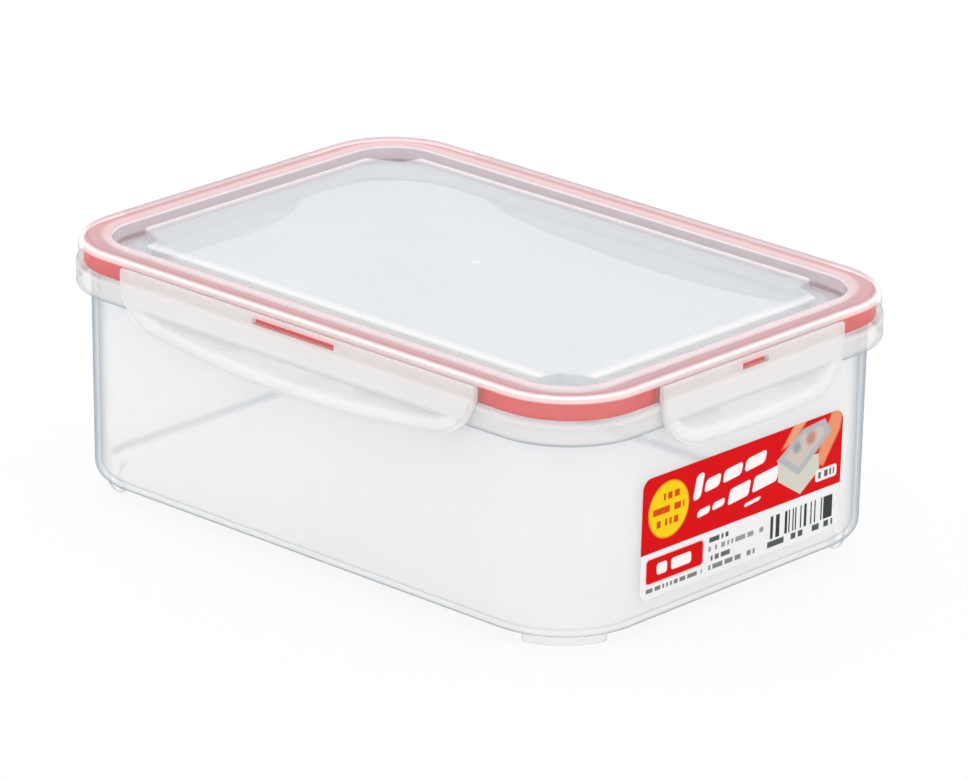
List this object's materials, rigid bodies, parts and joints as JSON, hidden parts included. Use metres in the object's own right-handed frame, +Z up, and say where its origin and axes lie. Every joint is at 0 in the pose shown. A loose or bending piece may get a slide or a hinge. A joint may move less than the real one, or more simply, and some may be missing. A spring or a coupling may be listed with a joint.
{
  "type": "plastic food container",
  "caption": "Clear rectangular plastic food container with a flat lid, a red seal ring, hinged locking flaps on every side and low corner feet.",
  "frame": {"origin": "on the ground under the middle of the container", "axes": "+Z up, +X along the long sides towards the labelled short side, +Y towards the back"},
  "size_m": [0.202, 0.144, 0.071],
  "materials": {
    "tub_plastic": "translucent",
    "lid_plastic": "clear",
    "flap_plastic": "translucent",
    "seal_rubber": "soft satin",
    "label_print": "printed film"
  },
  "bodies": {
    "container": {"tub": "tub_plastic", "lid": "lid_plastic", "seal": "seal_rubber", "label": "label_print"},
    "front_flap": {"front_flap": "flap_plastic"},
    "right_flap": {"right_flap": "flap_plastic"},
    "back_flap": {"back_flap": "flap_plastic"},
    "left_flap": {"left_flap": "flap_plastic"}
  },
  "joints": [
    {"name": "front_flap_hinge", "type": "hinge", "parent": "container", "child": "front_flap", "pos_m": [0, -0.0692, 0.0686], "axis": [-1, 0, 0], "range_deg": [0, 150]},
    {"name": "right_flap_hinge", "type": "hinge", "parent": "container", "child": "right_flap", "pos_m": [0.0982, 0, 0.0686], "axis": [0, -1, 0], "range_deg": [0, 150]},
    {"name": "back_flap_hinge", "type": "hinge", "parent": "container", "child": "back_flap", "pos_m": [0, 0.0692, 0.0686], "axis": [1, 0, 0], "range_deg": [0, 150]},
    {"name": "left_flap_hinge", "type": "hinge", "parent": "container", "child": "left_flap", "pos_m": [-0.0982, 0, 0.0686], "axis": [0, 1, 0], "range_deg": [0, 150]}
  ]
}
